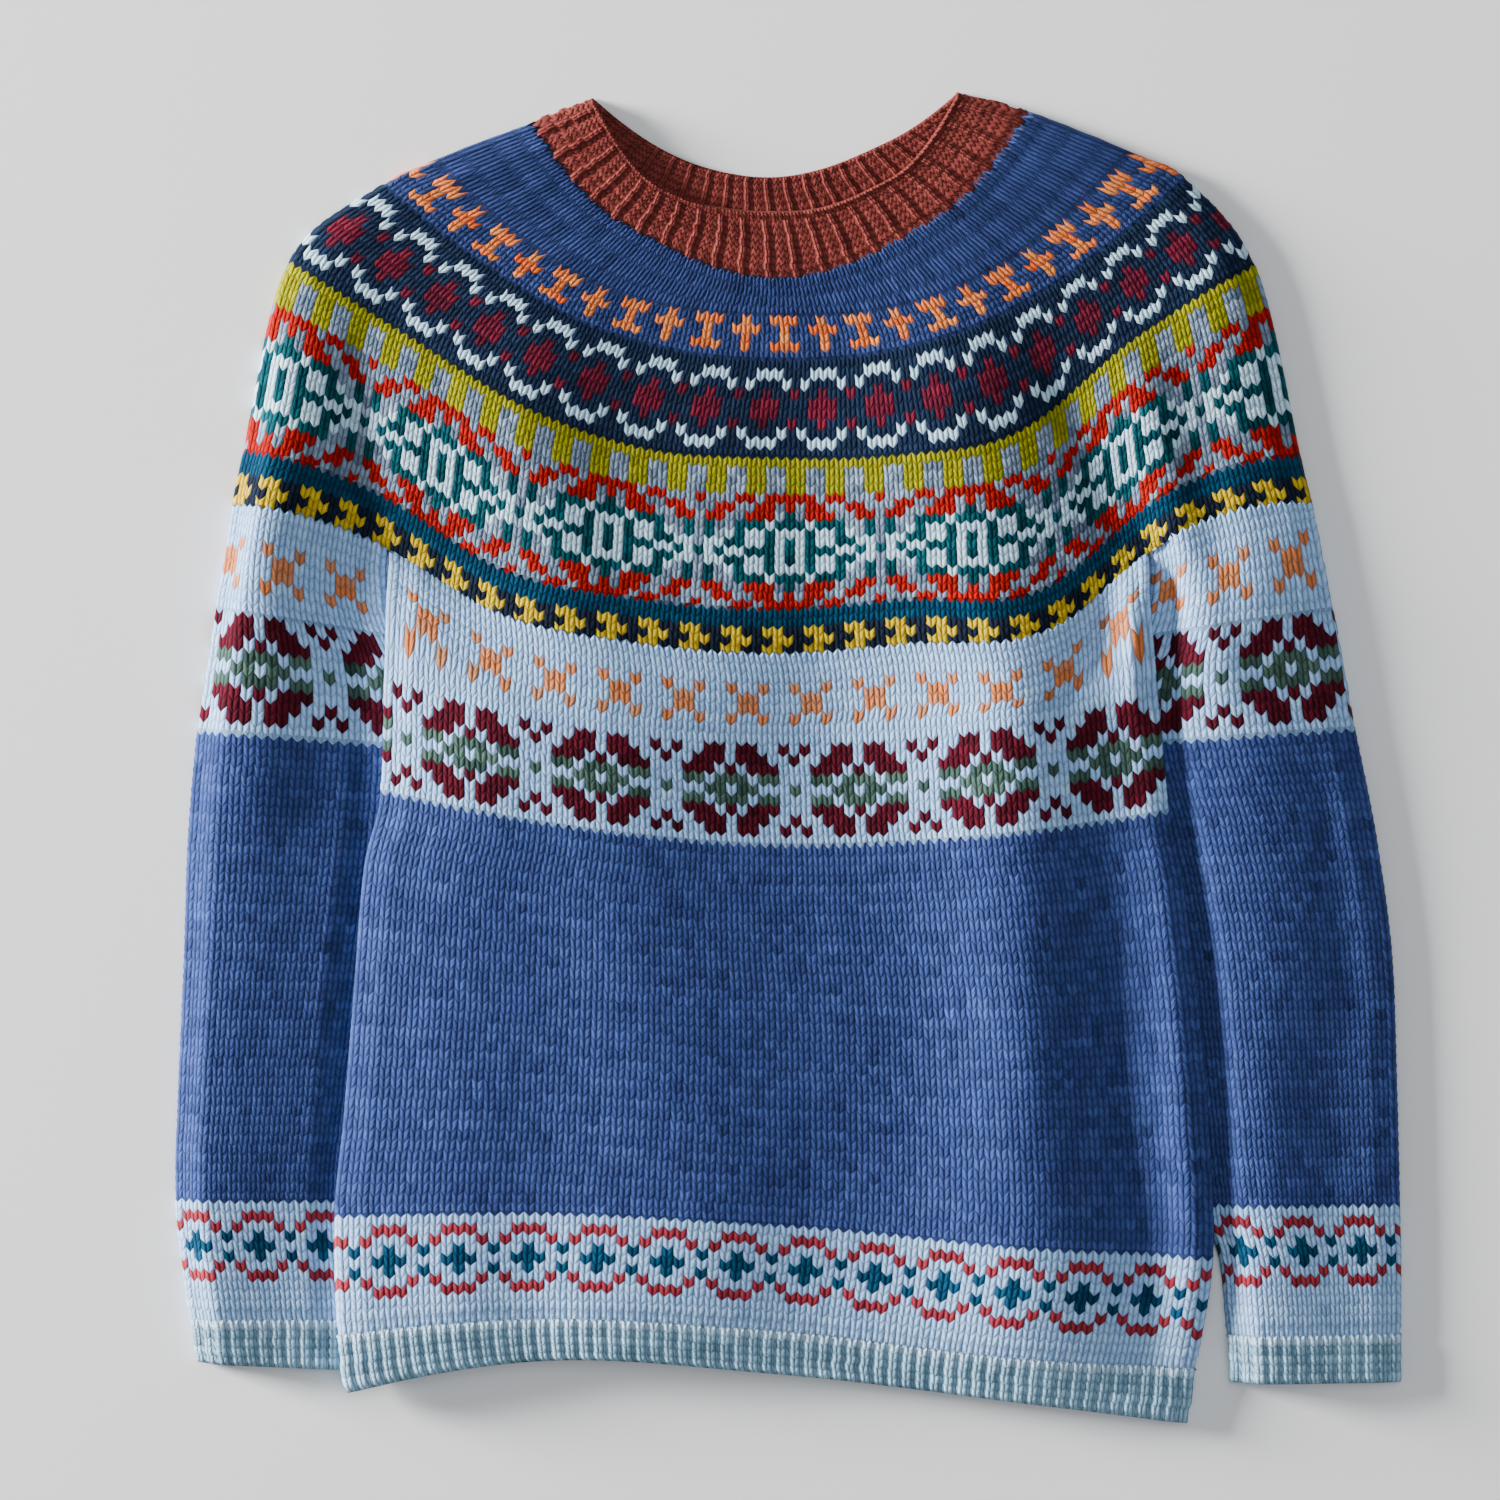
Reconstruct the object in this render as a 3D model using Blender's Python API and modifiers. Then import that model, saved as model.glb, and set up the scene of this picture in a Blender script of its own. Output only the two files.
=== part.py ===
"""A fair isle jumper, laid out flat on its back: eight knitted pieces, each one closed wall of cloth.

X runs to the viewer's right (the wearer's left), Y towards the neck and Z up from the surface the
jumper lies on. The origin is under the middle of the garment. Tables and sizes are in millimetres.

A piece is a flattened tube. It is described by rounds, the closed rows it is knitted in. Each round
has a front layer and a back layer, which meet at a soft fold at either side. The sleeves lie on the
surface, and the body's side edges lie over their inner edges.
"""

from collections import namedtuple

import bpy
import numpy as np

MM = 0.001
WALL = 2.6  # thickness of the stranded knitting
SEAM = 0.35  # gap where one piece is knitted on to the next
SEAM_BELOW = 1.0  # the gap under the yoke measured straight down, as that seam slopes
NECK_SEAM = 0.7  # half the gap under the neckband, which turns sharply at the shoulders
FOLD = 3.6  # between the middles of the two walls where they lie on each other
FOLD_REACH = 2.7  # how far the round of a folded edge reaches in
PUFF = 2.0  # how far the front stands off the back, away from folds and edges
MOST_PUFF = 2.7
PUFF_RUN = 24.0  # distance from an edge at which the front has risen by PUFF
LIFT_RUN = 22.0  # distance in which the body comes down beside a sleeve
LEAST_OVER = 3.0  # narrowest strip kept between a fold and the place where the body comes down
STATIONS = 65  # heights kept for each line across the garment
DENSE = 240  # samples along a line when it is measured

# Where the yoke, the body and a sleeve meet, at the top of each side of the body.
RIGHT_ARMPIT_X = -200.5
LEFT_ARMPIT_X = 180.5

# Lines of the yoke: the Y of the front at even steps from the left edge to the right edge.
YokeLine = namedtuple("YokeLine", "name left_x right_x front")
YOKE_LINES = (
    YokeLine("neck edge", -99.5, 85.5, (331, 294, 279, 273.5, 272, 274, 283, 298, 333)),
    YokeLine("neckband foot", -131.5, 123, (318, 277, 257, 243, 238, 244, 259, 281, 323)),
    YokeLine("plain blue", -182, 175.5, (298, 258, 232, 221.5, 219, 220.5, 232.5, 259.5, 302)),
    YokeLine("navy band", -205.5, 200.5, (286, 246, 216, 201, 197, 201, 216, 247, 289)),
    YokeLine("olive band", -251.5, 234.5, (247, 209, 172, 152, 148, 149, 160, 208, 245)),
    YokeLine("petrol line", -274, 257, (151, 131, 91, 77, 72, 77, 81, 131, 148.5)),
    YokeLine("yoke foot", -279, 263, (125, 108, 69.5, 55, 50, 55, 61, 111, 126)),
)
# The back of the neck sits higher than the front; below the plain blue they match.
BACK_LINES = {
    "neck edge": (331, 312, 299, 292, 290, 294, 303, 315, 333),
    "neckband foot": (318, 292, 272, 261, 258, 262, 275, 296, 323),
}

# Rounds of the body. The first four follow the yoke's foot at a distance below it, and the rest
# give their own Y at even steps across. over: width of sleeve under that edge. lift: rise over it.
BodyLine = namedtuple(
    "BodyLine", "name left_x right_x below_yoke heights left_over left_lift right_over right_lift"
)
BODY_LINES = (
    BodyLine("yoke seam", RIGHT_ARMPIT_X, LEFT_ARMPIT_X, SEAM_BELOW, None, 0, 0, 0, 0),
    BodyLine("seam foot", RIGHT_ARMPIT_X, LEFT_ARMPIT_X, 2.5, None, 0, 0, 0, 0),
    BodyLine("underarm", -200.6, 180.6, 9, None, 0, 4.5, 0, 4.5),
    BodyLine("cross band", -201.5, 181, 26.5, None, 4, 7.2, 4, 7.2),
    BodyLine("maroon band", -202.5, 184.5, None, (40, 15, 7, 12, 33), 20, 7.2, 19, 7.2),
    BodyLine("plain blue", -204.5, 190.5, None, (-19, -37, -46, -42, -29), 26, 7.2, 17, 7.2),
    BodyLine("waist", -212.5, 197, None, (-55, -68, -77, -74, -63), 29, 7.2, 16, 7.2),
    BodyLine("low waist", -217.5, 205, None, (-114, -122, -129, -133, -127), 25, 7.2, 12, 7.2),
    BodyLine("hip", -222.5, 210.5, None, (-177, -179, -187, -192, -191), 20, 7.2, 10, 7.2),
    BodyLine("border", -227.5, 212, None, (-231, -229, -235, -245, -252), 19, 7.2, 2, 7.2),
    BodyLine("rib seam", -226, 204, None, (-290, -281, -287, -299, -307), 20, 7.2, 0, 1.5),
    BodyLine("hem", -221.5, 200.5, None, (-318, -301, -308, -320, -334), 16, 7.2, 0, 0),
)

# Rounds of each sleeve below its seam with the yoke. covered: width that lies under the body.
SleeveLine = namedtuple("SleeveLine", "name outer_x outer_y inner_x inner_y covered")
RIGHT_SLEEVE_LINES = (
    SleeveLine("underarm", -281.5, 108, -201.3, 86, 0),
    SleeveLine("cross band", -286, 83, -197.5, 67, 3),
    SleeveLine("maroon band", -291, 53, -184, 40, 18),
    SleeveLine("plain blue", -297, 11, -178.5, 2, 25),
    SleeveLine("elbow", -301.5, -42, -182.5, -47, 28),
    SleeveLine("forearm", -303.5, -102, -192, -104, 25),
    SleeveLine("low forearm", -306.3, -167, -202.5, -168, 20),
    SleeveLine("border", -307.3, -223, -209, -224, 18),
    SleeveLine("rib seam", -300, -282, -207, -283, 19),
    SleeveLine("cuff edge", -297, -303, -208, -308, 15),
)
LEFT_SLEEVE_LINES = (
    SleeveLine("underarm", 266, 111, 181.3, 88, 0),
    SleeveLine("cross band", 271.5, 83, 177.5, 68, 3.5),
    SleeveLine("maroon band", 277.5, 53, 166, 38, 18),
    SleeveLine("plain blue", 284.5, 12, 165, 4, 22),
    SleeveLine("elbow", 294.5, -39, 179.5, -44, 15),
    SleeveLine("forearm", 302.5, -99, 191.5, -99, 12),
    SleeveLine("low forearm", 305, -164, 199.5, -164, 10),
    SleeveLine("border", 306.5, -226, 208, -226, 4),
    SleeveLine("wrist", 307, -253, 215.5, -253, 0),
    SleeveLine("rib seam", 307, -290, 219, -290, 0),
    SleeveLine("cuff edge", 307.5, -313, 220, -313, 0),
)

# Soft rolls (height above 0) and troughs (below 0) of the front, each along a straight run.
Crease = namedtuple("Crease", "name from_x from_y to_x to_y reach height")
CREASES = (
    Crease("right underarm trough", -212, 190, -201, 88, 17, -2.6),
    Crease("left underarm trough", 141, 168, 180, 96, 14, -2.6),
    Crease("right chest roll", -95, 30, -92, -310, 44, 0.9),
    Crease("middle dip", 38, -15, 42, -310, 24, -1.3),
    Crease("left chest roll", 112, -10, 116, -310, 30, 0.9),
    Crease("left side dip", 176, -60, 188, -270, 12, -1.5),
)

Round = namedtuple("Round", "left_x right_x front back left_over left_lift right_over right_lift")
# Steps across the front and the back, and down each side of the back where it comes off a sleeve.
Layers = namedtuple("Layers", "front back side")

BODY_STEPS = Layers(front=22, back=8, side=4)
SLEEVE_STEPS = Layers(front=12, back=8, side=0)
EDGE_STEPS = 2  # around half of a folded edge

COLOURS = {
    "neckband": (0.26, 0.085, 0.065),
    "yoke": (0.13, 0.19, 0.27),
    "body": (0.055, 0.11, 0.29),
    "ribbing": (0.24, 0.32, 0.35),
}
WOOL_ROUGHNESS = 0.95


def through(values, places):
    """A smooth curve through values at even steps, read at places from 0 (the first) to 1 (the last)."""
    values = np.asarray(values, float)
    before = 3 * (values[0] - values[1]) + values[2]
    after = 3 * (values[-1] - values[-2]) + values[-3]
    padded = np.concatenate([[before], values, [after]])
    steps = np.asarray(places, float) * (len(values) - 1)
    first = np.clip(np.floor(steps).astype(int), 0, len(values) - 2)
    t = (steps - first).reshape((-1,) + (1,) * (values.ndim - 1))
    a, b, c, d = (padded[first + k] for k in range(4))
    return 0.5 * (2 * b + (c - a) * t + (2 * a - 5 * b + 4 * c - d) * t**2 + (3 * b - a - 3 * c + d) * t**3)


def ramp(share):
    """0 up to share 0, 1 from share 1, and a soft S between."""
    share = np.clip(share, 0, 1)
    return share * share * (3 - 2 * share)


def stations(heights):
    """The heights of a line, read again at the shared number of stations."""
    return through(heights, np.linspace(0, 1, STATIONS))


def plain_round(left_x, right_x, front, back=None, lifts=(0, 0, 0, 0)):
    return Round(left_x, right_x, front, front if back is None else back, *lifts)


YOKE_ROUNDS = [
    plain_round(
        line.left_x, line.right_x, stations(line.front), stations(BACK_LINES.get(line.name, line.front))
    )
    for line in YOKE_LINES
]


def foot_of_yoke(left_x, right_x, below):
    """The yoke's lower edge between two places, moved down."""
    foot = YOKE_ROUNDS[-1]
    places = (np.linspace(left_x, right_x, STATIONS) - foot.left_x) / (foot.right_x - foot.left_x)
    return through(foot.front, places) - below


def body_round(line):
    if line.heights is None:
        front = foot_of_yoke(line.left_x, line.right_x, line.below_yoke)
    else:
        front = stations(line.heights)
    lifts = (line.left_over, line.left_lift, line.right_over, line.right_lift)
    return plain_round(line.left_x, line.right_x, front, lifts=lifts)


def sleeve_rounds(lines):
    """A sleeve's rounds, the first on the yoke's foot between its outer edge and the armpit."""
    foot = YOKE_ROUNDS[-1]
    rounds = []
    if lines[0].outer_x < 0:
        left, right = foot.left_x, RIGHT_ARMPIT_X - SEAM
    else:
        left, right = LEFT_ARMPIT_X + SEAM, foot.right_x
    rounds.append(plain_round(left, right, foot_of_yoke(left, right, SEAM_BELOW)))
    for line in lines:
        ends = [(line.outer_x, line.outer_y, 0), (line.inner_x, line.inner_y, line.covered)]
        (left_x, left_y, left_cover), (right_x, right_y, right_cover) = sorted(ends)
        front = np.linspace(left_y, right_y, STATIONS)
        rounds.append(plain_round(left_x, right_x, front, lifts=(left_cover, 0, right_cover, 0)))
    return rounds


def between(rounds, place):
    """The round at a place counted in rounds, such as 2.5 for halfway from rounds[2] to rounds[3]."""
    share = [place / (len(rounds) - 1)]
    return Round(*(through([getattr(r, name) for r in rounds], share)[0] for name in Round._fields))


def creased(x, y):
    """Height of the rolls and troughs at a point of the front."""
    height = np.zeros_like(x)
    for crease in CREASES:
        start = np.array([crease.from_x, crease.from_y], float)
        run = np.array([crease.to_x, crease.to_y]) - start
        along = np.clip(((x - start[0]) * run[0] + (y - start[1]) * run[1]) / (run @ run), 0, 1)
        away = np.hypot(x - start[0] - along * run[0], y - start[1] - along * run[1])
        height += crease.height * np.exp(-((away / crease.reach) ** 2))
    return height


def standing(x, y, from_edge):
    """How far the front stands off the back, beyond lying on it."""
    return np.clip((PUFF + creased(x, y)) * ramp(from_edge / PUFF_RUN), 0, MOST_PUFF)


def yoke_heights(_, x, y, from_left, from_right):
    back = np.full_like(x, WALL / 2)
    return back, back + FOLD + standing(x, y, np.minimum(from_left, from_right))


def sleeve_heights(row, x, y, from_left, from_right):
    """A sleeve is pressed flat where it lies under the body."""
    back = np.full_like(x, WALL / 2)
    from_edge = np.minimum(from_left - row.left_over, from_right - row.right_over)
    return back, back + FOLD + standing(x, y, from_edge)


def body_heights(row, x, y, from_left, from_right):
    """The body rises over the sleeves at its edges."""
    back = (
        WALL / 2
        + row.left_lift * ramp((row.left_over + LIFT_RUN + FOLD_REACH - from_left) / LIFT_RUN)
        + row.right_lift * ramp((row.right_over + LIFT_RUN + FOLD_REACH - from_right) / LIFT_RUN)
    )
    return back, back + FOLD + standing(x, y, np.minimum(from_left, from_right))


def measured(row, is_front):
    """The line of one layer from edge to edge: X, Y and the distance travelled."""
    x = np.linspace(row.left_x + WALL / 2, row.right_x - WALL / 2, DENSE)
    share = (x - row.left_x) / (row.right_x - row.left_x)
    y = through(row.front if is_front else row.back, share)
    return x, y, np.concatenate([[0], np.cumsum(np.hypot(np.diff(x), np.diff(y)))])


def layer(row, heights_at, is_front, along):
    """Points of one layer at distances along it from its left edge."""
    x, y, travelled = measured(row, is_front)
    length = travelled[-1]
    px, py = np.interp(along, travelled, x), np.interp(along, travelled, y)
    low, high = heights_at(row, px, py, along, length - along)
    from_edge = np.clip(np.minimum(along, length - along) / FOLD_REACH, 0, 1)
    spread = np.sqrt(1 - (1 - from_edge) ** 2) * (1 if is_front else -1)
    return np.stack([px, py, (low + high) / 2 + spread * (high - low) / 2], axis=1)


def even_stops(steps):
    """Distances between the folds of a layer: even, and closer where the back comes down."""

    def side(over):
        if not steps.side:
            return np.array([FOLD_REACH])
        foot = FOLD_REACH + max(over, LEAST_OVER)
        return np.concatenate([[FOLD_REACH], foot + LIFT_RUN * np.linspace(0, 1, steps.side)])

    def stops(row, length, is_front):
        if is_front:
            return np.linspace(FOLD_REACH, length - FOLD_REACH, steps.front + 1)
        left, right = side(row.left_over), side(row.right_over)
        middle = np.linspace(left[-1], length - right[-1], steps.back + 1)[1:-1]
        return np.concatenate([left, middle, length - right[::-1]])

    return stops


def foot_stops(seam_rounds):
    """Distances on the yoke that meet every stop of the rounds knitted on to its foot."""
    foot = YOKE_ROUNDS[-1]

    def shares(is_front):
        foot_x, _, foot_travelled = measured(foot, is_front)
        flat = foot_travelled[-1] - 2 * FOLD_REACH
        met = []
        for row, steps in seam_rounds:
            x, _, travelled = measured(row, is_front)
            stops = even_stops(steps)(row, travelled[-1], is_front)
            met.append(np.interp(np.interp(stops, travelled, x), foot_x, foot_travelled))
        armpits = np.interp([RIGHT_ARMPIT_X, LEFT_ARMPIT_X], foot_x, foot_travelled)
        return np.clip((np.sort(np.concatenate([*met, armpits])) - FOLD_REACH) / flat, 0, 1)

    shares_of = {True: shares(True), False: shares(False)}

    def stops(_, length, is_front):
        return FOLD_REACH + shares_of[is_front] * (length - 2 * FOLD_REACH)

    return stops


def ring(row, heights_at, stops):
    """The middle of the cloth around one round: the front from left to right, then the back."""
    edge = FOLD_REACH * (1 - np.cos(np.linspace(0, np.pi / 2, EDGE_STEPS + 1)))

    def whole(is_front):
        length = measured(row, is_front)[2][-1]
        near = edge[:-1] if is_front else edge[1:-1]
        along = np.concatenate([near, stops(row, length, is_front), length - near[::-1]])
        return layer(row, heights_at, is_front, along)

    return np.concatenate([whole(True), whole(False)[::-1]])


def stepped_off(rings, gap):
    """The same rings with the first moved towards the second by the gap of the seam."""
    way = rings[1] - rings[0]
    length = np.linalg.norm(way, axis=1, keepdims=True)
    return [rings[0] + way / length * gap, *rings[1:]]


def knitted(name, rings, colour, collection):
    """A tube through the rings, given the cloth's thickness."""
    count = len(rings[0])
    around = [(k, (k + 1) % count) for k in range(count)]
    faces = [
        (row * count + a, (row + 1) * count + a, (row + 1) * count + b, row * count + b)
        for row in range(len(rings) - 1)
        for a, b in around
    ]
    mesh = bpy.data.meshes.new(name)
    mesh.from_pydata((np.concatenate(rings) * MM).tolist(), [], faces)
    mesh.update()
    mesh.shade_smooth()
    piece = bpy.data.objects.new(name, mesh)
    collection.objects.link(piece)
    wall = piece.modifiers.new("cloth", "SOLIDIFY")
    wall.thickness = WALL * MM
    wall.offset = 0
    piece.data.materials.append(wool(colour))
    return piece


def wool(colour):
    material = bpy.data.materials.get(colour) or bpy.data.materials.new(colour)
    material.use_nodes = True
    shader = material.node_tree.nodes["Principled BSDF"]
    shader.inputs["Base Color"].default_value = (*COLOURS[colour], 1)
    shader.inputs["Roughness"].default_value = WOOL_ROUGHNESS
    shader.inputs["Metallic"].default_value = 0
    return material


def rings_at(rounds, places, heights_at, stops):
    return [ring(between(rounds, place), heights_at, stops) for place in places]


def build_yoke(seam_rounds, collection):
    stops = foot_stops(seam_rounds)
    band = rings_at(YOKE_ROUNDS, (0, 0.33, 0.67, 1), yoke_heights, stops)
    knitted("neckband", stepped_off(band[::-1], NECK_SEAM)[::-1], "neckband", collection)
    yoke = rings_at(YOKE_ROUNDS, (1, 2, 3, 3.5, 4, 4.5, 5, 6), yoke_heights, stops)
    knitted("yoke", stepped_off(yoke, NECK_SEAM), "yoke", collection)


def build_tube(names, rounds, heights_at, steps, collection):
    """A tube knitted down from the yoke, and the rib knitted on to its last round."""
    last = len(rounds) - 1
    tube = rings_at(rounds, range(last), heights_at, even_stops(steps))
    knitted(names[0], tube, "body", collection)
    rib = rings_at(rounds, (last - 1, last - 0.5, last), heights_at, even_stops(steps))
    knitted(names[1], stepped_off(rib, SEAM), "ribbing", collection)


def main():
    for old in list(bpy.data.objects):
        bpy.data.objects.remove(old)
    jumper = bpy.data.collections.new("fair_isle_jumper")
    bpy.context.scene.collection.children.link(jumper)
    right = sleeve_rounds(RIGHT_SLEEVE_LINES)
    body = [body_round(line) for line in BODY_LINES]
    left = sleeve_rounds(LEFT_SLEEVE_LINES)
    seams = ((right[0], SLEEVE_STEPS), (body[0], BODY_STEPS), (left[0], SLEEVE_STEPS))
    build_yoke(seams, jumper)
    build_tube(("body", "hem_rib"), body, body_heights, BODY_STEPS, jumper)
    build_tube(("sleeve_right", "cuff_right"), right, sleeve_heights, SLEEVE_STEPS, jumper)
    build_tube(("sleeve_left", "cuff_left"), left, sleeve_heights, SLEEVE_STEPS, jumper)


main()
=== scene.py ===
"""A fair isle jumper laid out flat on its back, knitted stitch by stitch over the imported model.

X runs to the viewer's right (the wearer's left), Y towards the neck and Z up. Tables and sizes are in
millimetres. Each piece is a flattened tube described by rounds, and each round has a front and a back
layer that meet in a soft fold at either side. A place such as 2.5 is halfway between rounds 2 and 3.
Every stitch is two slanting legs of yarn, raised out of the cloth, in the colour that its chart gives.
"""

import math
from collections import namedtuple

import bpy
import numpy as np
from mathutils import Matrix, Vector


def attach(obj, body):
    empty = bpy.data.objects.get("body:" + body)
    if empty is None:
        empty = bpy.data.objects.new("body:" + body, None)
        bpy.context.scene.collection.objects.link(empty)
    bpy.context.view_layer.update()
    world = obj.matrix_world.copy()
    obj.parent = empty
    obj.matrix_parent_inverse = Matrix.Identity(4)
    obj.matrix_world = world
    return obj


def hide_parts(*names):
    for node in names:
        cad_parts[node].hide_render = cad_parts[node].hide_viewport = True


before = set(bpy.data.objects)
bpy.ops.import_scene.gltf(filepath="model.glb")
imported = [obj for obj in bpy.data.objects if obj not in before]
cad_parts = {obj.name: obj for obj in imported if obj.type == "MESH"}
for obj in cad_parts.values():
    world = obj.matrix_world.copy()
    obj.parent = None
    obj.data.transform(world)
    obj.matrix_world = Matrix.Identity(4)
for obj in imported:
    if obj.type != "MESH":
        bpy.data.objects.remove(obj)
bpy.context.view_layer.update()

MM = 0.001
SEED = 11

# ---------------------------------------------------------------------------------------------------
# The form of the cloth
# ---------------------------------------------------------------------------------------------------

WALL = 2.6  # thickness of the stranded knitting
FOLD = 3.6  # between the middles of the two walls where they lie on each other
FOLD_REACH = 2.7  # how far the round of a folded edge reaches in
PUFF = 2.0  # how far the front stands off the back, away from folds and edges
PUFF_RUN = 15.0  # distance from an edge at which the front has risen by PUFF
LIFT_RUN = 22.0  # distance in which the body's back comes down beside a sleeve
LEFT_FRONT_RUN, RIGHT_FRONT_RUN = 90.0, 34.0  # distances in which its front does, without the rolls
STATIONS = 65  # heights kept for each line across the garment
DENSE = 300  # samples along a line when it is measured
AROUND = 600  # samples along the front, and along the back, of a measured surface
PLACES = 14  # samples of a measured surface between one round and the next
ROW_SAMPLES = 60  # samples down the middle of the front when rows are placed
FRONT_MIDDLE = 0.25  # the turn of the middle of the front, whose folds are at 0 and 0.5

RIGHT_ARMPIT_X = -200.5
LEFT_ARMPIT_X = 180.5

# Lines of the yoke: the Y of the front at even steps from the left edge to the right edge.
YokeLine = namedtuple("YokeLine", "name left_x right_x front")
YOKE_LINES = (
    YokeLine("neck edge", -99.5, 85.5, (331, 294, 279, 273.5, 272, 274, 283, 298, 333)),
    YokeLine("neckband foot", -131.5, 123, (318, 277, 257, 243, 238, 244, 259, 281, 323)),
    YokeLine("plain blue", -182, 175.5, (298, 258, 232, 221.5, 219, 220.5, 232.5, 259.5, 302)),
    YokeLine("navy band", -205.5, 200.5, (286, 246, 216, 201, 197, 201, 216, 247, 289)),
    YokeLine("olive band", -251.5, 234.5, (247, 209, 172, 152, 148, 149, 160, 208, 245)),
    YokeLine("petrol line", -274, 257, (151, 131, 91, 77, 72, 77, 81, 131, 148.5)),
    YokeLine("yoke foot", -279, 263, (125, 108, 69.5, 55, 50, 55, 61, 111, 126)),
)
# The back of the neck sits higher than the front; below the plain blue they match.
BACK_LINES = {
    "neck edge": (331, 312, 299, 292, 290, 294, 303, 315, 333),
    "neckband foot": (318, 292, 272, 261, 258, 262, 275, 296, 323),
}

# Rounds of the body. The first three follow the yoke's foot at a distance below it, and the rest
# give their own Y at even steps across. over: width of sleeve under that edge. lift: rise over it.
BodyLine = namedtuple(
    "BodyLine", "name left_x right_x below_yoke heights left_over left_lift right_over right_lift"
)
BODY_LINES = (
    BodyLine("yoke seam", RIGHT_ARMPIT_X, LEFT_ARMPIT_X, 0, None, 0, 0, 0, 0),
    BodyLine("underarm", -200.6, 180.6, 9, None, 0, 4.5, 0, 4.5),
    BodyLine("cross band", -201.5, 181, 26.5, None, 4, 7.2, 4, 7.2),
    BodyLine("maroon band", -202.5, 184.5, None, (40, 15, 7, 12, 33), 20, 7.2, 19, 7.2),
    BodyLine("plain blue", -204.5, 190.5, None, (-19, -37, -46, -42, -29), 26, 7.2, 17, 7.2),
    BodyLine("waist", -212.5, 197, None, (-55, -68, -77, -74, -63), 29, 7.2, 16, 7.2),
    BodyLine("low waist", -217.5, 205, None, (-114, -122, -129, -133, -127), 25, 7.2, 12, 7.2),
    BodyLine("hip", -222.5, 210.5, None, (-177, -179, -187, -192, -191), 20, 7.2, 10, 7.2),
    BodyLine("border", -227.5, 212, None, (-231, -229, -235, -245, -252), 19, 7.2, 2, 7.2),
    BodyLine("rib seam", -226, 204, None, (-290, -281, -287, -299, -307), 20, 7.2, 0, 1.5),
    BodyLine("hem", -221.5, 200.5, None, (-318, -301, -308, -320, -334), 16, 7.2, 0, 0),
)

# Rounds of each sleeve below its seam with the yoke. covered: width that lies under the body.
SleeveLine = namedtuple("SleeveLine", "name outer_x outer_y inner_x inner_y covered")
RIGHT_SLEEVE_LINES = (
    SleeveLine("underarm", -281.5, 108, -201.3, 86, 0),
    SleeveLine("cross band", -286, 83, -197.5, 67, 3),
    SleeveLine("maroon band", -291, 53, -184, 40, 18),
    SleeveLine("plain blue", -297, 11, -178.5, 2, 25),
    SleeveLine("elbow", -301.5, -42, -182.5, -47, 28),
    SleeveLine("forearm", -303.5, -102, -192, -104, 25),
    SleeveLine("low forearm", -306.3, -167, -202.5, -168, 20),
    SleeveLine("border", -307.3, -223, -209, -224, 18),
    SleeveLine("rib seam", -300, -282, -207, -283, 19),
    SleeveLine("cuff edge", -297, -303, -208, -308, 15),
)
LEFT_SLEEVE_LINES = (
    SleeveLine("underarm", 266, 111, 181.3, 88, 0),
    SleeveLine("cross band", 271.5, 83, 177.5, 68, 3.5),
    SleeveLine("maroon band", 277.5, 53, 166, 38, 18),
    SleeveLine("plain blue", 284.5, 12, 165, 4, 22),
    SleeveLine("elbow", 294.5, -39, 179.5, -44, 15),
    SleeveLine("forearm", 302.5, -99, 191.5, -99, 12),
    SleeveLine("low forearm", 305, -164, 199.5, -164, 10),
    SleeveLine("border", 306.5, -226, 208, -226, 4),
    SleeveLine("wrist", 307, -253, 215.5, -253, 0),
    SleeveLine("rib seam", 307, -290, 219, -290, 0),
    SleeveLine("cuff edge", 307.5, -313, 220, -313, 0),
)

# Soft rolls (height above 0) and troughs (below 0) of the front, each along a straight run. reach: how
# far from the run it has sunk to about a third of its height.
Swell = namedtuple("Swell", "name from_x from_y to_x to_y reach height")
SWELLS = (
    Swell("right side roll", -96, -10, -94, -262, 56, 10.0),
    Swell("right flank", -156, 0, -162, -262, 36, 4.2),
    Swell("middle roll", -38, 0, -34, -250, 42, 4.0),
    Swell("middle rise", 22, 0, 26, -270, 90, 2.5),
    Swell("left front roll", 113, -10, 121, -262, 39, 11.0),
    Swell("right chest roll", -132, 150, -112, 30, 46, 6.0),
    Swell("left chest roll", 88, 165, 110, 30, 36, 6.5),
    Swell("middle dip", 8, 150, 22, 30, 28, -1.6),
    Swell("left side dip", 160, 60, 184, -290, 15, -4.8),
    Swell("right underarm trough", -214, 186, -203, 84, 14, -3.2),
    Swell("left underarm trough", 140, 172, 181, 88, 13, -3.6),
    Swell("right armpit dip", -218, 120, -208, -10, 12, -3.0),
    Swell("left armpit lip", 171, 82, 173, 34, 9, 3.0),
    Swell("left armpit pit", 187, 84, 185, 28, 7, -8.0),
    Swell("left underarm roll", 178, 180, 210, 50, 15, 4.4),
    Swell("right shoulder roll", -238, 210, -262, 100, 22, 3.0),
    Swell("left shoulder roll", 212, 220, 232, 90, 20, 2.0),
    Swell("right sleeve roll", -268, 112, -296, -280, 42, 6.0),
    Swell("right upper sleeve roll", -256, 112, -264, 5, 26, 4.0),
    Swell("left sleeve roll", 226, 50, 240, -290, 34, 7.0),
    Swell("left elbow dip", 268, -30, 282, -120, 11, -1.4),
)
REACH_WAVER = 0.18  # share by which the reach of a swell grows and shrinks along Y
WAVER_RATE = 0.021  # how fast it does, in radians to a millimetre
END_REACH = 1.6  # how far a swell fades past its ends, in reaches
DEEPEST = -0.4  # the lowest that a trough brings the front, counted from lying on the back

Round = namedtuple("Round", "left_x right_x front back left_over left_lift right_over right_lift")
Surface = namedtuple("Surface", "first points normals")


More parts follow.
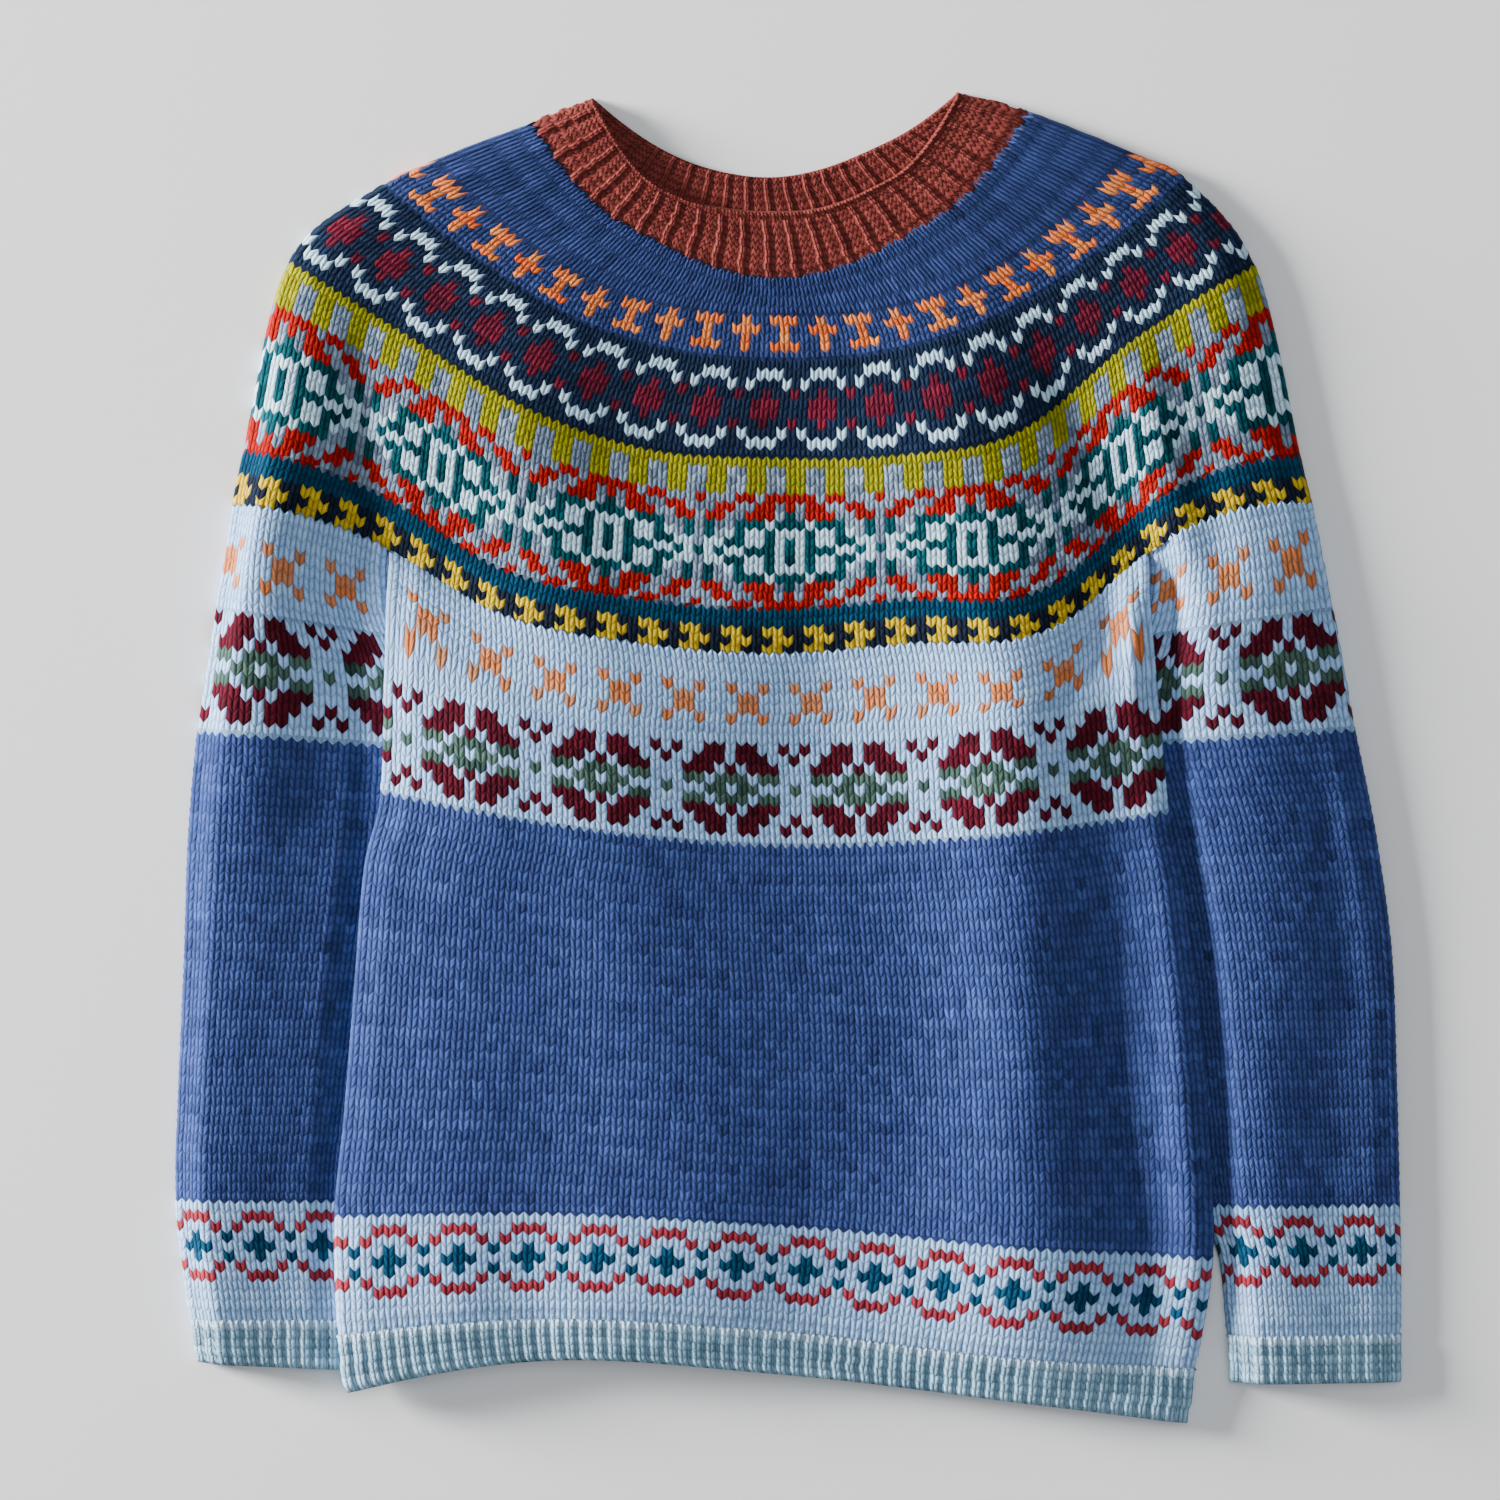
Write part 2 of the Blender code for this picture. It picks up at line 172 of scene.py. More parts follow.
def through(values, places):
    """A smooth curve through values at even steps, read at places from 0 (the first) to 1 (the last)."""
    values = np.asarray(values, float)
    before = 3 * (values[0] - values[1]) + values[2]
    after = 3 * (values[-1] - values[-2]) + values[-3]
    padded = np.concatenate([[before], values, [after]])
    steps = np.asarray(places, float) * (len(values) - 1)
    first = np.clip(np.floor(steps).astype(int), 0, len(values) - 2)
    t = (steps - first).reshape((-1,) + (1,) * (values.ndim - 1))
    a, b, c, d = (padded[first + k] for k in range(4))
    return 0.5 * (2 * b + (c - a) * t + (2 * a - 5 * b + 4 * c - d) * t**2 + (3 * b - a - 3 * c + d) * t**3)


def ramp(share):
    """0 up to share 0, 1 from share 1, and a soft S between."""
    share = np.clip(share, 0, 1)
    return share * share * (3 - 2 * share)


def stations(heights):
    """The heights of a line, read again at the shared number of stations."""
    return through(heights, np.linspace(0, 1, STATIONS))


def plain_round(left_x, right_x, front, back=None, lifts=(0, 0, 0, 0)):
    """A round whose back lies under its front, unless it is given one of its own."""
    return Round(left_x, right_x, front, front if back is None else back, *lifts)


YOKE_ROUNDS = [
    plain_round(
        line.left_x, line.right_x, stations(line.front), stations(BACK_LINES.get(line.name, line.front))
    )
    for line in YOKE_LINES
]


def foot_of_yoke(left_x, right_x, below=0.0):
    """The yoke's lower edge between two places, moved down."""
    foot = YOKE_ROUNDS[-1]
    places = (np.linspace(left_x, right_x, STATIONS) - foot.left_x) / (foot.right_x - foot.left_x)
    return through(foot.front, places) - below


def body_round(line):
    """A round of the body, which follows the yoke's foot or its own heights."""
    if line.heights is None:
        front = foot_of_yoke(line.left_x, line.right_x, line.below_yoke)
    else:
        front = stations(line.heights)
    lifts = (line.left_over, line.left_lift, line.right_over, line.right_lift)
    return plain_round(line.left_x, line.right_x, front, lifts=lifts)


def sleeve_rounds(lines):
    """A sleeve's rounds, the first on the yoke's foot between its outer edge and the armpit."""
    foot = YOKE_ROUNDS[-1]
    rounds = []
    if lines[0].outer_x < 0:
        left, right = foot.left_x, RIGHT_ARMPIT_X
    else:
        left, right = LEFT_ARMPIT_X, foot.right_x
    rounds.append(plain_round(left, right, foot_of_yoke(left, right)))
    for line in lines:
        ends = [(line.outer_x, line.outer_y, 0), (line.inner_x, line.inner_y, line.covered)]
        (left_x, left_y, left_cover), (right_x, right_y, right_cover) = sorted(ends)
        front = np.linspace(left_y, right_y, STATIONS)
        rounds.append(plain_round(left_x, right_x, front, lifts=(left_cover, 0, right_cover, 0)))
    return rounds


def between(rounds, place):
    """The round at a place counted in rounds, such as 2.5 for halfway from rounds[2] to rounds[3]."""
    share = [place / (len(rounds) - 1)]
    return Round(*(through([getattr(r, name) for r in rounds], share)[0] for name in Round._fields))


def swelling(x, y):
    """Height of the rolls and troughs at points of the front."""
    height = np.zeros_like(x)
    for swell in SWELLS:
        start = np.array([swell.from_x, swell.from_y], float)
        run = np.array([swell.to_x, swell.to_y]) - start
        along = ((x - start[0]) * run[0] + (y - start[1]) * run[1]) / (run @ run)
        beyond = np.maximum(np.maximum(-along, along - 1), 0) * np.hypot(*run)
        away = np.abs((x - start[0]) * run[1] - (y - start[1]) * run[0]) / np.hypot(*run)
        reach = swell.reach * (1 + REACH_WAVER * np.sin(WAVER_RATE * y + swell.reach))
        fading = (beyond / (END_REACH * swell.reach)) ** 2
        height += swell.height * np.exp(-((away / reach) ** 2) - fading)
    return height


def standing(x, y, from_edge):
    """How far the front stands off the back, beyond lying on it."""
    raised = PUFF + swelling(x, y)
    return np.maximum(raised, DEEPEST) * ramp(from_edge / PUFF_RUN)


def yoke_heights(_, x, y, from_left, from_right):
    """The yoke lies on the surface, and its front stands off its back."""
    back = np.full_like(x, WALL / 2)
    return back, back + FOLD + standing(x, y, np.minimum(from_left, from_right))


def sleeve_heights(row, x, y, from_left, from_right):
    """A sleeve is pressed flat where it lies under the body."""
    back = np.full_like(x, WALL / 2)
    from_edge = np.minimum(from_left - row.left_over, from_right - row.right_over)
    return back, back + FOLD + standing(x, y, from_edge)


def body_heights(row, x, y, from_left, from_right):
    """The body rises over the sleeves at its edges."""
    back = (
        WALL / 2
        + row.left_lift * ramp((row.left_over + LIFT_RUN + FOLD_REACH - from_left) / LIFT_RUN)
        + row.right_lift * ramp((row.right_over + LIFT_RUN + FOLD_REACH - from_right) / LIFT_RUN)
    )
    front = WALL / 2 + FOLD
    front += row.left_lift * ramp((row.left_over + LEFT_FRONT_RUN - from_left) / LEFT_FRONT_RUN)
    front += row.right_lift * ramp((row.right_over + RIGHT_FRONT_RUN - from_right) / RIGHT_FRONT_RUN)
    raised = standing(x, y, np.minimum(from_left, from_right))
    return back, np.maximum(front + raised, back + FOLD)


def layer(row, heights_at, is_front, upright):
    """The middle of one layer from edge to edge, at even steps of its own length, or of its width."""
    x = np.linspace(row.left_x + WALL / 2, row.right_x - WALL / 2, DENSE)
    y = through(row.front if is_front else row.back, (x - row.left_x) / (row.right_x - row.left_x))
    travelled = np.concatenate([[0], np.cumsum(np.hypot(np.diff(x), np.diff(y)))])
    length = travelled[-1]
    along = length * (1 - np.cos(np.linspace(0, np.pi, 3 * DENSE))) / 2
    px, py = np.interp(along, travelled, x), np.interp(along, travelled, y)
    low, high = heights_at(row, px, py, along, length - along)
    from_edge = np.clip(np.minimum(along, length - along) / FOLD_REACH, 0, 1)
    spread = np.sqrt(1 - (1 - from_edge) ** 2) * (1 if is_front else -1)
    points = np.stack([px, py, (low + high) / 2 + spread * (high - low) / 2], axis=1)
    steps = np.diff(points, axis=0) * (1, 0 if upright else 1, 1)
    travelled = np.concatenate([[0], np.cumsum(np.linalg.norm(steps, axis=1))])
    even = np.linspace(0, travelled[-1], AROUND + 1)
    return np.stack([np.interp(even, travelled, points[:, k]) for k in range(3)], axis=1)


def surface(rounds, heights_at, first, last):
    """The middle of the cloth from one place to another, measured on a fine grid."""
    upright = heights_at is body_heights  # the body's stitches are even in width across it
    rings = []
    for place in np.linspace(first, last, round((last - first) * PLACES) + 1):
        row = between(rounds, place)
        front, back = (layer(row, heights_at, is_front, upright) for is_front in (True, False))
        rings.append(np.concatenate([front[:-1], back[:0:-1]]))
    points = np.array(rings)
    down = np.gradient(points, axis=0)
    around = np.roll(points, -1, axis=1) - np.roll(points, 1, axis=1)
    normals = np.cross(down, around)
    normals /= np.linalg.norm(normals, axis=2, keepdims=True)
    return Surface(first, points, normals)


def sample(cloth, place, turn):
    """Points and normals at places along the rounds, and turns around them from 0 to 1."""
    rows, steps = cloth.points.shape[:2]
    down = (place - cloth.first) * PLACES
    top = np.clip(np.floor(down).astype(int), 0, rows - 2)
    across = (turn % 1) * steps
    left = np.floor(across).astype(int) % steps
    right = (left + 1) % steps
    down = (down - top)[:, None]
    across = (across - np.floor(across))[:, None]
    read = []
    for grid in (cloth.points, cloth.normals):
        upper = grid[top, left] * (1 - across) + grid[top, right] * across
        lower = grid[top + 1, left] * (1 - across) + grid[top + 1, right] * across
        read.append(upper * (1 - down) + lower * down)
    points, normals = read
    return points, normals / np.linalg.norm(normals, axis=1, keepdims=True)


# ---------------------------------------------------------------------------------------------------
# Yarns and charts
# ---------------------------------------------------------------------------------------------------

# tone: the yarn's colour, 0 to 255 for red, green and blue. other: a second tone it wanders to.
# wander: how far towards it, and mottle: how much lighter or darker each stitch may be.
Yarn = namedtuple("Yarn", "tone other wander mottle")
YARNS = {
    "body blue": Yarn((66, 86, 148), (46, 60, 112), 0.8, 0.13),
    "yoke blue": Yarn((54, 70, 124), (38, 50, 90), 0.8, 0.13),
    "light blue": Yarn((172, 210, 255), (146, 188, 240), 0.8, 0.06),
    "brick": Yarn((142, 66, 60), (106, 48, 46), 0.8, 0.1),
    "orange": Yarn((222, 84, 36), (230, 146, 84), 1.0, 0.12),
    "tan orange": Yarn((214, 118, 62), (190, 132, 100), 1.0, 0.08),
    "navy": Yarn((30, 46, 72), (22, 32, 52), 0.8, 0.1),
    "white blue": Yarn((202, 234, 252), (170, 212, 240), 0.6, 0.05),
    "wine": Yarn((116, 28, 50), (78, 24, 42), 1.0, 0.12),
    "olive": Yarn((156, 154, 8), (122, 122, 14), 0.8, 0.09),
    "painted_shade_grey": Yarn((84, 102, 126), (150, 170, 194), 1.0, 0.14),
    "red": Yarn((176, 26, 16), (134, 20, 18), 0.8, 0.1),
    "teal": Yarn((16, 86, 96), (10, 48, 58), 1.0, 0.12),
    "petrol": Yarn((12, 66, 94), (12, 44, 68), 0.9, 0.08),
    "charcoal": Yarn((28, 38, 56), (20, 26, 38), 0.8, 0.08),
    "yellow": Yarn((222, 190, 40), (184, 148, 28), 0.8, 0.08),
    "maroon": Yarn((92, 22, 38), (62, 18, 30), 0.9, 0.1),
    "sage": Yarn((84, 112, 100), (48, 70, 66), 1.0, 0.1),
    "rose": Yarn((168, 56, 70), (124, 38, 52), 0.9, 0.1),
    "deep teal": Yarn((20, 80, 112), (16, 52, 80), 0.9, 0.08),
    "rib grey": Yarn((166, 206, 232), (118, 156, 178), 1.0, 0.1),
    "rib edge": Yarn((190, 222, 246), (150, 188, 214), 0.6, 0.05),
}
LETTERS = {
    "b": "body blue",
    "B": "yoke blue",
    ".": "light blue",
    "k": "brick",
    "O": "orange",
    "x": "tan orange",
    "n": "navy",
    "w": "white blue",
    "P": "wine",
    "o": "olive",
    "g": "painted_shade_grey",
    "r": "red",
    "t": "teal",
    "p": "petrol",
    "c": "charcoal",
    "y": "yellow",
    "M": "maroon",
    "s": "sage",
    "R": "rose",
    "T": "deep teal",
    "i": "rib grey",
    "I": "rib edge",
}


def mirrored(half):
    """Rows of a motif from its half, which starts at the middle stitch."""
    return [row[-2:0:-1] + row for row in half]


def both_ways(rows):
    """Rows of a motif from its upper half, which ends with the middle row."""
    return rows + rows[-2::-1]


# Each chart reads as the knitting lies, top row first, and repeats round the garment. The middle of
# its motif is the stitch given by the band that uses it.
CHARTS = {
    "orange": ["OOOBBOBB", "BOBBOOOB", "BOBBBOBB", "OOOBBOBB", "BBBBBBBB"],
    "navy": [
        "nnnnnn",
        "nwwwnn",
        "wnnnwn",
        "nnPnnP",
        "nPPPnn",
        "nPPPnn",
        "nnPnnP",
        "wnnnwn",
        "nwwwnn",
        "nnnnnn",
    ],
    "olive": ["oooo", "oogg", "oogg", "oogg"],
    "rings and crosses": both_ways(
        mirrored(
            [
                "rrrgrrgggr",
                "rgrrggrrgg",
                "tgrrrggrrg",
                "ttwtttggtg",
                "wwtwwtwgtg",
                "twtwwttwwg",
                "twtttwwtwt",
            ]
        )
    ),
    "petrol": ["pppp"],
    "birds": ["yycc", "cyyc", "yycc"],
    "light": ["."],
    "crosses": ["x..x..", ".xx...", ".xx...", "x..x.."],
    "roses": both_ways(
        ["..MM.MM..M.M", ".MMM.MMM..M.", "MMM.M.MMM...", "ss.sss.ss...", "..ss.ss...s."]
    ),
    "plain blue": ["b"],
    "plain yoke": ["B"],
    "rings": [
        "......",
        ".RRR..",
        "R...R.",
        "..T..T",
        ".TTT..",
        "..T..T",
        "R...R.",
        ".RRR..",
    ],
    "rib": ["i"],
    "rib edge": ["I"],
    "brick": ["k"],
}

# rows: how many rows are knitted, from the top of the chart and round again. at_x: where the middle
# of a motif lies on the front, and middle: which stitch of the repeat that is, counted from 0.
Band = namedtuple("Band", "chart rows at_x middle")
# A stretch has one number of stitches all round, between two places of the piece.
Stretch = namedtuple("Stretch", "first last stitches stitch bands")


def plain(chart, rows):
    """A band with no motif to place."""
    return Band(chart, rows, None, 0)


NECKBAND_STRETCHES = (
    Stretch(0, 0.1, 132, "cast off", (plain("brick", 1),)),
    Stretch(0.1, 1, 44, "neck rib", (plain("brick", 8),)),
)
YOKE_STRETCHES = (
    Stretch(1, 2, 164, "knit", (plain("plain yoke", 4),)),
    Stretch(2, 3, 176, "knit", (Band("orange", 5, -2, 1),)),
    Stretch(3, 4, 208, "knit", (Band("navy", 10, -12, 2),)),
    Stretch(4, 5, 222, "knit", (Band("olive", 4, -19, 0.5), Band("rings and crosses", 13, 0.5, 8))),
    Stretch(5, 6, 226, "knit", (plain("petrol", 2), Band("birds", 3, -8.5, 0.5))),
)
FRONT_BANDS = (
    plain("light", 3),
    Band("crosses", 4, -18, 1.5),
    plain("light", 2),
    Band("roses", 9, -28.5, 4),
    plain("light", 1),
)
BODY_STRETCHES = (
    Stretch(0, 4, 146, "knit", FRONT_BANDS),
    Stretch(4, 8, 150, "knit", (plain("plain blue", 39),)),
    Stretch(8, 9, 153, "knit", (Band("rings", 8, -27, 2), plain("light", 3))),
)
HEM_STRETCHES = (Stretch(9, 10, 122, "rib", (plain("rib edge", 1), plain("rib", 4))),)


def sleeve_stretches(cross_x, rose_x, ring_x, rib, rows_below):
    """Bands of a sleeve. cross_x, rose_x and ring_x: where the middle of a motif lies."""
    top = (plain("light", 3), Band("crosses", 4, cross_x, 1.5), plain("light", 2))
    return (
        Stretch(0, 2.4, 34, "knit", top),
        Stretch(2.4, 4, 40, "knit", (Band("roses", 9, rose_x, 4), plain("light", 1))),
        Stretch(4, 8, 42, "knit", (plain("plain blue", 48),)),
        Stretch(8, rib, 38, "knit", (Band("rings", 8, ring_x, 2), plain("light", rows_below))),
    )


RIGHT_SLEEVE_STRETCHES = sleeve_stretches(-252, -263.5, -263.5, 9, 4)
LEFT_SLEEVE_STRETCHES = sleeve_stretches(250.5, 250.5, 257, 10, 5)
RIGHT_CUFF_STRETCHES = (Stretch(9, 10, 27, "rib", (plain("rib edge", 1), plain("rib", 4))),)
LEFT_CUFF_STRETCHES = (Stretch(10, 11, 26, "rib", (plain("rib edge", 1), plain("rib", 4))),)

# ---------------------------------------------------------------------------------------------------
# Stitches
# ---------------------------------------------------------------------------------------------------

# A stitch is a small grid. Across it: the places of its points from 0 to 1, how far each leans up the
# cloth in rows, how high it stands, and its place in the yarn's own pattern, where a stitch is width
# wide. Down it: the places of its points from 0 to 1, and the share of the height that each has.
Stitch = namedtuple("Stitch", "across lean relief yarn width purl down share")
STITCHES = {
    "knit": Stitch(
        across=(0, 0.25, 0.5, 0.75),
        lean=(0.5, 0.25, 0, 0.25),
        relief=(-0.28, 0.34, -0.08, 0.34),
        yarn=(0, 0.25, 0.5, 0.75),
        width=1,
        purl=(0, 0, 0, 0),
        down=(0, 0.34, 0.7),
        share=(0, 1, 0.95),
    ),
    "rib": Stitch(
        across=(0, 0.17, 0.33, 0.5, 0.67, 0.83),
        lean=(0, 0.3, 0.18, 0, 0.18, 0.3),
        relief=(-1.2, 0.45, 0.95, 0.8, 0.95, 0.45),
        yarn=(-0.5, 0, 0.25, 0.5, 0.75, 1),
        width=2,
        purl=(1, 0, 0, 0, 0, 0),
        down=(0, 0.34, 0.7),
        share=(0.7, 1, 0.95),
    ),
    "neck rib": Stitch(
        across=(0, 0.15, 0.29, 0.37, 0.5, 0.63, 0.71, 0.85),
        lean=(0, 0, 0, 0.25, 0, 0.25, 0, 0),
        relief=(0.2, 0.5, -0.7, 1.0, 1.3, 1.0, -0.7, 0.5),
        yarn=(-1.5, -0.8, -0.1, 0, 0.5, 1, 1.1, 1.8),
        width=4,
        purl=(1, 1, 1, 0, 0, 0, 1, 1),
        down=(0, 0.34, 0.7),
        share=(0.8, 1, 1),
    ),
    "cast off": Stitch(
        across=(0, 0.5),
        lean=(0, 0.25),
        relief=(1.1, 1.9),
        yarn=(0, 0.5),
        width=1,
        purl=(0, 0),
        down=(0, 0.34, 0.7),
        share=(0, 1, 0.9),
    ),
}
BACK_STEP = 2  # on the back, which lies on the surface, a stitch keeps every second point
INNER_AROUND = 120
INNER_ROWS = 20
TOOTH_RISE = 0.35  # how far the points of a first row stand over the piece that it is knitted to
SUNK = 0.55  # how far a last row sinks under those points
EDGE_SUNK = 0.3  # how much further the very edge of a sunk row goes down
JOIN_GAP = 0.5  # rows left free at the end of a stretch for the points of the next one
JOIN_LEAN = 0.3  # share of their lean that the last points before that gap keep
EDGE_REACH = 0.02  # how far the middle of a rim stands out, as a share of the way between two rounds
EDGE_DROP = 0.7  # how far the cloth rounds down at a free edge
STITCH_CHANCE = 0.13  # share of its height by which one stitch differs from the next
DRIFT = 0.06  # share of a stitch by which a column wanders sideways
DRIFT_RUN = 6  # stitches over which that changes

# How far a stitch goes to its yarn's other tone: in the middle, by chance, and by a slow change.
MIX_MIDDLE, MIX_CHANCE, MIX_SLOW = 0.5, 0.3, 0.2
MIX_RUN = 5  # stitches over which the slow change turns
# How light or dark a stitch is, in shares of its yarn's mottle: by chance, and by a slow change.
LIGHT_CHANCE, LIGHT_SLOW = 0.9, 0.2
LIGHT_RUN = 9  # stitches over which that slow change turns

# How the first points of a stretch lie.
STRAIGHT = "straight"  # in a straight line, at a free edge
JOINED = "joined"  # as points that show, level with the stretch above
RAISED = "raised"  # as points that show, standing over the piece above


def linear(tone):
    """A colour of 0 to 255 as the linear light that materials use."""
    share = np.asarray(tone, float) / 255
    return np.where(share <= 0.04045, share / 12.92, ((share + 0.055) / 1.055) ** 2.4)


def wandering(chance, rows, stitches, run):
    """Smooth values from -1 to 1, by chance, that change over about run stitches along a row."""
    knots = chance.uniform(-1, 1, (rows, stitches // run + 3))
    places = np.arange(stitches) / run
    return np.array([np.interp(places, np.arange(row.size), row) for row in knots])


def letters_of(part, column_at):
    """The chart letter of every stitch: rows from the top, stitches round from the left fold."""
    count = np.arange(part.stitches)
    letters = []
    for band in part.bands:
        rows = CHARTS[band.chart]
        start = 0 if band.at_x is None else column_at(band.at_x) - band.middle
        column = np.rint(count - start).astype(int) % len(rows[0])
        letters += [np.array(list(rows[k % len(rows)]))[column] for k in range(band.rows)]
    return np.array(letters)


def colours_of(letters, chance):
    """The colour of every stitch, a little different from stitch to stitch."""
    rows, stitches = letters.shape
    mixed = MIX_MIDDLE + MIX_CHANCE * chance.uniform(-1, 1, letters.shape)
    mixed = mixed + MIX_SLOW * wandering(chance, rows, stitches, MIX_RUN)
    light = LIGHT_CHANCE * chance.normal(0, 1, letters.shape)
    light = light + LIGHT_SLOW * wandering(chance, rows, stitches, LIGHT_RUN)
    colours = np.zeros((rows, stitches, 3))
    for letter in np.unique(letters):
        yarn = YARNS[LETTERS[str(letter)]]
        here = letters == letter
        share = (mixed[here] * yarn.wander)[:, None]
        tone = linear(yarn.tone) * (1 - share) + linear(yarn.other) * share
        colours[here] = tone * (1 + yarn.mottle * light[here])[:, None]
    return np.clip(colours, 0, 1)


Ring = namedtuple("Ring", "start turns")
# The columns of points round a stretch: which stitch each belongs to, and what the stitch gives it.
Columns = namedtuple("Columns", "stitch across lean relief yarn purl")


def columns_of(stitch, count, whole_back):
    """The columns round a stretch of count stitches."""
    chosen = []
    for k in range(count):
        step = 1 if whole_back or (k + 0.5) / count < 0.5 else BACK_STEP
        chosen += [(k, c) for c in range(0, len(stitch.across), step)]
    number, point = np.array(chosen).T
    fields = [np.array(f, float)[point] for f in (stitch.across, stitch.lean, stitch.relief)]
    yarn = np.array(stitch.yarn, float)[point] + number * stitch.width
    return Columns(number, *fields, yarn, np.array(stitch.purl, float)[point])


def quads(upper, lower):
    """The corners of the quads between two rings with the same number of points."""
    here = np.arange(len(upper.turns))
    beside = (here + 1) % len(here)
    above, below = upper.start, lower.start
    return np.stack([above + here, below + here, below + beside, above + beside], axis=1)


class Knitting:
    """The points and faces of one piece, added as it is knitted."""

    def __init__(self, cloth, chance, whole_back):
        self.cloth = cloth
        self.chance = chance
        self.whole_back = whole_back
        self.side = 1  # 1 while the outside of the piece is made, and -1 while the inside is
        self.points, self.purl = [], []
        self.faces, self.colours, self.yarn = [], [], []
        self.count = 0

    def ring(self, place, turns, height, purl=0.0):
        """A ring of points at a height over one face of the cloth."""
        points, normals = sample(self.cloth, place, turns)
        offset = self.side * (WALL / 2 + np.asarray(height, float))
        placed = points + normals * np.broadcast_to(offset, turns.shape)[:, None]
        placed[:, 2] = np.maximum(placed[:, 2], 0)  # nothing goes below what the jumper lies on
        self.points.append(placed)
        self.purl.append(np.broadcast_to(purl, turns.shape))
        made = Ring(self.count, turns)
        self.count += len(turns)
        return made

    def add_faces(self, corners, colours, yarn):
        """Faces with the same number of corners: a colour for each and a yarn place for each corner."""
        if self.side < 0:
            corners, yarn = corners[:, ::-1], yarn[:, ::-1]
        self.faces += corners.tolist()
        self.colours.append(np.repeat(colours, corners.shape[1], axis=0))
        self.yarn.append(yarn.reshape(-1, 2))

    def measured(self, part):
        """Functions for the turn of an X on the front, and the place of a row; and how many rows."""
        rows = sum(band.rows for band in part.bands)
        middle = np.full(AROUND + 1, (part.first + part.last) / 2)
        turns = np.linspace(0, 0.5, AROUND + 1)
        xs = sample(self.cloth, middle, turns)[0][:, 0]
        places = np.linspace(part.first, part.last, ROW_SAMPLES)
        line = sample(self.cloth, places, np.full(ROW_SAMPLES, FRONT_MIDDLE))[0]
        travelled = np.concatenate([[0], np.cumsum(np.linalg.norm(np.diff(line, axis=0), axis=1))])
        row_at = travelled / travelled[-1] * rows

        def turn_of(x):
            """The turn at which an X of the front lies."""
            return np.interp(x, xs, turns)

        def place_of(row):
            """The place of a row, which may be a little above the first."""
            start = (places[1] - places[0]) / (row_at[1] - row_at[0])
            return np.interp(row, row_at, places) + np.minimum(row, 0) * start

        return turn_of, place_of, rows

    def stretch(self, part, start, last, sunk):
        """Knits one stretch. last: it ends the piece. sunk: its last row lies under the next piece."""
        stitch = STITCHES[part.stitch]
        turn_of, place_of, rows = self.measured(part)

        def column_of(x):
            """The column whose middle lies at an X of the front, before the shift."""
            return turn_of(x) * part.stitches - 0.5

        fixed = [band for band in part.bands if band.at_x is not None]
        shift = 0.0
        if fixed:
            shift = column_of(fixed[-1].at_x) - fixed[-1].middle
            shift -= round(shift)
        letters = letters_of(part, lambda x: column_of(x) - shift)
        colours = colours_of(letters, self.chance)
        columns = columns_of(stitch, part.stitches, self.whole_back)
        turns = (columns.stitch + columns.across + shift) / part.stitches
        uneven = self.chance.normal(0, 1, (rows + 1, part.stitches))
        drift = wandering(self.chance, rows + 1, part.stitches, DRIFT_RUN) * DRIFT / part.stitches
        steps = [(row, k) for row in range(rows) for k in range(len(stitch.down))]
        rings = []
        for row, k in steps:
            at = row + stitch.down[k] - columns.lean
            height = columns.relief * stitch.share[k] * (1 + STITCH_CHANCE * uneven[row][columns.stitch])
            if (row, k) == steps[0]:
                at = at * 0 if start == STRAIGHT else at
                height = height * 0 + (TOOTH_RISE if start == RAISED else 0)
            if (row, k) == steps[-1] and not last:
                at = rows - JOIN_GAP - JOIN_LEAN * columns.lean
            if row == rows - 1 and k > 0 and sunk:
                height = height - SUNK
            moved = turns + drift[row][columns.stitch]
            rings.append(self.ring(place_of(at), moved, height, columns.purl))
        if last:
            height = np.full(len(turns), -SUNK - EDGE_SUNK if sunk else -EDGE_DROP)
            rings.append(self.ring(place_of(np.full(len(turns), float(rows))), turns, height))
        self.weave(rings, steps, stitch, columns, colours, last)
        return rings, colours

    def weave(self, rings, steps, stitch, columns, colours, last):
        """Quads between the rings of a stretch."""
        size = len(columns.stitch)
        beside = (np.arange(size) + 1) % size
        start_yarn = stitch.yarn[0] + stitch.width * (columns.stitch + 1)
        same = columns.stitch[beside] == columns.stitch
        next_yarn = np.where(same, columns.yarn[beside], start_yarn)
        across = np.stack([columns.yarn, columns.yarn, next_yarn, next_yarn], axis=1)
        ends = [row + stitch.down[k] for row, k in steps] + ([len(colours)] if last else [])
        for q in range(len(rings) - 1):
            down = np.broadcast_to([ends[q], ends[q + 1], ends[q + 1], ends[q]], (size, 4))
            tones = colours[steps[q][0]][columns.stitch]
            self.add_faces(quads(rings[q], rings[q + 1]), tones, np.stack([across, down], axis=2))

